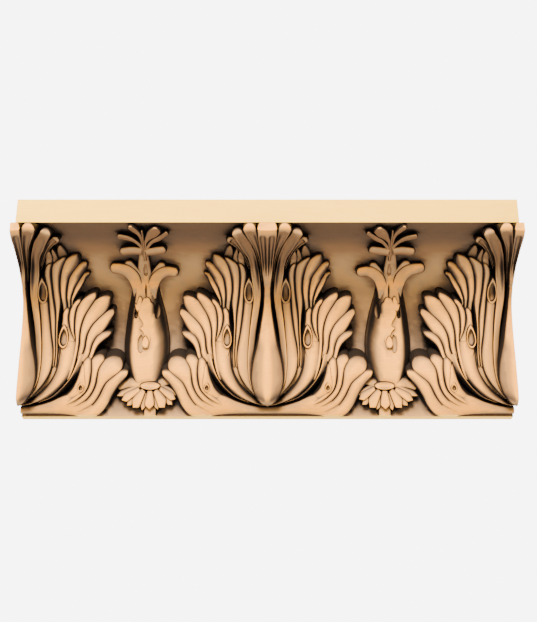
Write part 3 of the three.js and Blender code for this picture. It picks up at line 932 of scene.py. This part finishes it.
# One node output, so that shader sums read like ordinary sums.
class Wire:
    def __init__(self, graph, socket):
        self.graph = graph
        self.socket = socket

    def __add__(self, other):
        return self.graph.maths("ADD", self, other)

    def __radd__(self, other):
        return self.graph.maths("ADD", other, self)

    def __sub__(self, other):
        return self.graph.maths("SUBTRACT", self, other)

    def __rsub__(self, other):
        return self.graph.maths("SUBTRACT", other, self)

    def __mul__(self, other):
        return self.graph.maths("MULTIPLY", self, other)

    def __rmul__(self, other):
        return self.graph.maths("MULTIPLY", other, self)

    def __pow__(self, other):
        return self.graph.maths("POWER", self, other)


# Builds one node tree. Settings are put in before the socket values and links.
class Graph:
    def __init__(self, tree):
        self.tree = tree

    def node(self, kind, settings=None, values=None, out=0):
        made = self.tree.nodes.new(kind)
        for name, value in (settings or {}).items():
            setattr(made, name, value)
        for name, value in (values or {}).items():
            if isinstance(value, Wire):
                self.tree.links.new(value.socket, made.inputs[name])
            else:
                made.inputs[name].default_value = value
        return Wire(self, made.outputs[out])

    def maths(self, operation, *terms):
        return self.node("ShaderNodeMath", {"operation": operation}, dict(enumerate(terms)))

    def vectors(self, operation, first, second, out=0):
        return self.node("ShaderNodeVectorMath", {"operation": operation}, {0: first, 1: second}, out)

    def mix(self, share, first, second):
        return self.node("ShaderNodeMix", {"data_type": "RGBA"}, {0: share, 6: first, 7: second}, 2)

    def ramp(self, value, low, high):
        return self.node("ShaderNodeMapRange", {"interpolation_type": "SMOOTHSTEP"},
                         {0: value, 1: low, 2: high, 3: 0.0, 4: 1.0})

    def noise(self, place, scale, detail=3.0, rough=0.55):
        return self.node("ShaderNodeTexNoise", None,
                         {"Vector": place, "Scale": scale, "Detail": detail, "Roughness": rough})

    def attribute(self, name):
        return self.node("ShaderNodeAttribute", {"attribute_name": name}, None, 2)


# Colours are linear. A pair is the range over which something comes in.
woodSpec = {
    # The plain faces are painted paler and yellower than the carved ones: painted light on the band, which
    # faces the light squarely.
    "band": (1.0, 0.56, 0.03, 1),
    "bandDark": (0.97, 0.5, 0.028, 1),
    "light": (1.0, 0.38, 0.018, 1),
    "dark": (0.86, 0.31, 0.018, 1),
    # Painted shade, from light to deep: the carving's colour darkens through these as the painted shade adds
    # up, down to black in the deepest places.
    "half": (0.39, 0.178, 0.047, 1),
    "mid": (0.215, 0.109, 0.043, 1),
    "deepShade": (0.112, 0.058, 0.026, 1),
    "shadowHalf": (0.40, 0.222, 0.088, 1),    # the same three where less light falls
    "shadowMid": (0.215, 0.113, 0.048, 1),
    "shadowDeep": (0.105, 0.065, 0.039, 1),
    "black": (0.010, 0.006, 0.004, 1),
    "halfAt": (0.0, 1.05),         # shades at which each colour takes over from the one before
    "midAt": (0.9, 1.65),
    "deepShadeAt": (1.5, 2.5),
    "blackAt": (2.3, 4.0),
    "lightFrom": (-0.13, -0.83, 0.55),
    "litAt": (0.1, 0.75),
    "grainScale": 924.0,
    "grainStretch": (0.05, 1.0, 1.0),
    "figureScale": 60.0,
    "speckleScale": 1500.0,
    "toneAt": (0.36, 0.64),
    "roughness": 0.6,
    "roughnessSpread": 0.25,
    "specular": 0.12,
    "grainBump": 0.12,
    "grainDepth": 0.0004,
}
# How much shade is painted where. Shades add up, and each one darkens the wood by the same share.
shadePaintSpec = {
    "facingFrom": (0.0, -0.95, -0.312),
    "facingLimit": 0.95,
    "facingShade": 3.1,        # how much darker a face gets as it turns from there
    "hollowShade": 2.7,        # and as the forms close in round it
    "creviceLimit": 0.3,       # narrow gaps count less than wide ones up to here
    "creviceLess": 2.2,
    "softLimit": 1.8,          # the most that those make together
    "closedInShade": 2.4,          # more where the forms close in altogether
    "deepAt": (0.78, 0.96),
    "sideShade": 2.1,          # on slopes that face along the moulding
    "sideAt": (0.38, 0.78),
    "groundAt": (0.1, 0.8),    # how proud of the ground the ground's own painted shade ends
    "groundHollowShade": 1.6,        # as hollowShade, on the plain ground
    "groundDeep": 2.0,         # more where it is closed in
    "groundDeepFrom": 0.2,
    "groundTurned": 1.9,       # where it turns away
    "groundTurnedAt": (0.05, 0.55),
    "uprightAt": (0.85, 1.0),
    "uprightShade": 0.3,       # on the upright wall
    "uprightHollow": 2.6,
    "groundOpen": 0.5,         # over all the ground
    "groundInShadow": 0.3,         # the least share of the shadow colours there
    "wallShade": 2.0,          # on the cut sides of the forms
    "wallAt": (0.05, 0.66),
    "creaseShade": 1.1,        # on the thin lines where two forms meet
    "creaseAt": (0.38, 0.78),
    "creaseLess": 0.7,         # less of it on the ground
    "openShade": 0.08,         # over all the carving
    "speckle": 0.2,
}


def dotWith(graph, normal, direction):
    return graph.vectors("DOT_PRODUCT", normal, direction, 1)


# Painted shade on the ground, from how closed in it is and how far it turns from the front.
def groundPaintedShade(graph, normal, hollow, away):
    spec = shadePaintSpec
    upright = graph.ramp(dotWith(graph, normal, (0.0, -1.0, 0.0)), *spec["uprightAt"])
    deep = graph.maths("MAXIMUM", hollow - spec["groundDeepFrom"], 0.0)
    shade = hollow * spec["groundHollowShade"] + deep * spec["groundDeep"]
    shade = shade + graph.ramp(away, *spec["groundTurnedAt"]) * spec["groundTurned"]
    return shade + upright * (hollow * spec["uprightHollow"] + spec["uprightShade"]) + spec["groundOpen"]


# Painted shade on the forms that stand off the ground.
def formPaintedShade(graph, normal, hollow, crevice, away):
    spec = shadePaintSpec
    narrow = graph.maths("MINIMUM", crevice, spec["creviceLimit"]) * spec["creviceLess"]
    closedIn = hollow ** 0.5 * spec["hollowShade"] - narrow
    shade = graph.maths("MINIMUM", closedIn + away * spec["facingShade"], spec["softLimit"])
    sideways = graph.maths("ABSOLUTE", dotWith(graph, normal, (1.0, 0.0, 0.0)))
    shade = shade + graph.ramp(hollow, *spec["deepAt"]) * spec["closedInShade"]
    return shade + graph.ramp(sideways, *spec["sideAt"]) * spec["sideShade"]


# All the painted shade on the carving: darker where faces turn from the front, where forms close in, on cut
# walls, side slopes and creases.
def paintedShadeSum(graph, normal, ground, speckle):
    spec = shadePaintSpec
    crevice = graph.attribute("crevice")
    hollow = graph.attribute("hollow")
    facing = dotWith(graph, normal, spec["facingFrom"])
    away = graph.maths("MAXIMUM", spec["facingLimit"] - facing, 0.0)
    onForms = formPaintedShade(graph, normal, hollow, crevice, away)
    onShadedGround = groundPaintedShade(graph, normal, hollow, away)
    crease = graph.ramp(crevice, *spec["creaseAt"]) * (1.0 - ground * spec["creaseLess"])
    wall = 1.0 - graph.ramp(dotWith(graph, normal, (0.0, -slope, -slope)), *spec["wallAt"])
    shade = onForms + (onShadedGround - onForms) * ground
    shade = shade + crease * spec["creaseShade"] + wall * spec["wallShade"]
    return shade + spec["openShade"] + (speckle - 0.5) * spec["speckle"]


# Pale wood with painted shade: darker in the recesses, on the cut walls and on faces that look down or
# sideways, with shaded copies of its colours where less light falls, and paler band colours painted as light
# on the plain faces.
def carvedWood():
    spec = woodSpec
    wood = bpy.data.materials.new("carvedWood")
    wood.use_nodes = True
    graph = Graph(wood.node_tree)
    surface = wood.node_tree.nodes["Principled BSDF"]
    place = graph.node("ShaderNodeTexCoord", None, None, 3)
    along = graph.vectors("MULTIPLY", place, spec["grainStretch"])
    fine = graph.noise(along, spec["grainScale"], 4.0, 0.6)
    figure = graph.noise(along, spec["figureScale"], 3.0, 0.5)
    speckle = graph.noise(place, spec["speckleScale"], 2.0, 0.6)
    tone = graph.ramp(fine * 0.55 + figure * 0.45, *spec["toneAt"])
    carved = graph.attribute("carved")
    # The plain faces take the paler, yellower band colours, which are painted light; the grain tone varies
    # both.
    plain = graph.mix(tone, spec["band"], spec["bandDark"])
    base = graph.mix(carved, plain, graph.mix(tone, spec["light"], spec["dark"]))
    normal = graph.node("ShaderNodeNewGeometry", None, None, 1)
    ground = 1.0 - graph.ramp(graph.attribute("proud"), *shadePaintSpec["groundAt"])
    shade = paintedShadeSum(graph, normal, ground, speckle) * carved
    # Shaded copies of the colours are painted on faces turned from the key light, and on the ground.
    inShadow = 1.0 - graph.ramp(dotWith(graph, normal, spec["lightFrom"]), *spec["litAt"])
    inShadow = graph.maths("MAXIMUM", inShadow, ground * shadePaintSpec["groundInShadow"])
    # The painted shade darkens the wood step by step through the half, mid and deep shade colours to black.
    shadedBase = base
    for colour, shadowColour, takesOver in (("half", "shadowHalf", "halfAt"), ("mid", "shadowMid", "midAt"),
                                          ("deepShade", "shadowDeep", "deepShadeAt")):
        shadeStep = graph.mix(inShadow, spec[colour], spec[shadowColour])
        shadedBase = graph.mix(graph.ramp(shade, *spec[takesOver]), shadedBase, shadeStep)
    shadedBase = graph.mix(graph.ramp(shade, *spec["blackAt"]), shadedBase, spec["black"])
    links = wood.node_tree.links
    links.new(shadedBase.socket, surface.inputs["Base Color"])
    rough = spec["roughness"] + (fine - 0.5) * spec["roughnessSpread"]
    links.new(rough.socket, surface.inputs["Roughness"])
    surface.inputs["Specular IOR Level"].default_value = spec["specular"]
    bump = graph.node("ShaderNodeBump", None, {"Strength": spec["grainBump"], "Distance": spec["grainDepth"],
                                               "Height": fine + speckle * 0.4})
    links.new(bump.socket, surface.inputs["Normal"])
    return wood


print("colouring the wood")
frieze.data.materials.clear()
frieze.data.materials.append(carvedWood())

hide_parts("frieze_moulding")
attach(frieze, "root")

print("placing the camera, floor and light")
# Camera where the photograph was taken: below the moulding, looking up at it.
viewSpec = {"elevation": -23.7, "distance": 810.0, "target": [0.9, -77.0, -15.0], "lens": 62.5, "sensor": 36}
rise = math.radians(viewSpec["elevation"])
aim = Vector((0, math.cos(rise), -math.sin(rise)))
camera = bpy.data.cameras.new("camera")
camera.lens = viewSpec["lens"]
camera.sensor_width = viewSpec["sensor"]
camera.sensor_fit = "AUTO"
camera.clip_start = 0.01
eye = bpy.data.objects.new("camera", camera)
bpy.context.scene.collection.objects.link(eye)
eye.location = Vector(viewSpec["target"]) * mm - aim * viewSpec["distance"] * mm
eye.rotation_euler = aim.to_track_quat("-Z", "Y").to_euler()
bpy.context.scene.camera = eye

stageSpec = {
    "floorZ": -0.9,
    "size": 4.0,
    "floor": (0.6, 0.6, 0.6, 1),
    "front": 0.4,          # strength of the light all round on the viewer's side
    "behind": 7.0,         # strength of the white light behind the moulding
    "behindAt": (0.1, 0.5),      # how far round to the back that light comes in
    "overheadAt": (0.72, 0.9),   # and how far up it ends
    "keyPlace": (-0.2, -1.3, 0.86),
    "keyAim": (0, -0.05, 0),
    "keySize": 0.6,
    "keyPower": 120.0,
    "keyColour": (1.0, 0.95, 0.82),
}
floorMesh = bpy.data.meshes.new("floor")
half = stageSpec["size"] / 2
floorZ = stageSpec["floorZ"]
corners = [(-half, -half, floorZ), (half, -half, floorZ), (half, half, floorZ), (-half, half, floorZ)]
floorMesh.from_pydata(corners, [], [(0, 1, 2, 3)])
floor = bpy.data.objects.new("floor", floorMesh)
bpy.context.scene.collection.objects.link(floor)
pale = bpy.data.materials.new("paleFloor")
pale.use_nodes = True
pale.node_tree.nodes["Principled BSDF"].inputs["Base Color"].default_value = stageSpec["floor"]
pale.node_tree.nodes["Principled BSDF"].inputs["Roughness"].default_value = 0.8
floorMesh.materials.append(pale)

# Plain studio: a white backdrop behind, dim even light in front.
world = bpy.data.worlds.new("world")
bpy.context.scene.world = world
world.use_nodes = True
studio = Graph(world.node_tree)
way = studio.node("ShaderNodeTexCoord", None, None, 0)
behind = studio.ramp(studio.vectors("DOT_PRODUCT", way, (0.0, 1.0, 0.0), 1), *stageSpec["behindAt"])
overhead = studio.ramp(studio.vectors("DOT_PRODUCT", way, (0.0, 0.0, 1.0), 1), *stageSpec["overheadAt"])
behind = behind * (1.0 - overhead)
strength = stageSpec["front"] + behind * (stageSpec["behind"] - stageSpec["front"])
world.node_tree.links.new(strength.socket, world.node_tree.nodes["Background"].inputs["Strength"])
world.node_tree.nodes["Background"].inputs["Color"].default_value = (1, 1, 1, 1)

keyLight = bpy.data.lights.new("keyLight", "AREA")
keyLight.size = stageSpec["keySize"]
keyLight.energy = stageSpec["keyPower"]
keyLight.color = stageSpec["keyColour"]
lamp = bpy.data.objects.new("keyLight", keyLight)
bpy.context.scene.collection.objects.link(lamp)
lamp.location = stageSpec["keyPlace"]
keyWay = Vector(stageSpec["keyAim"]) - Vector(stageSpec["keyPlace"])
lamp.rotation_euler = keyWay.to_track_quat("-Z", "Y").to_euler()
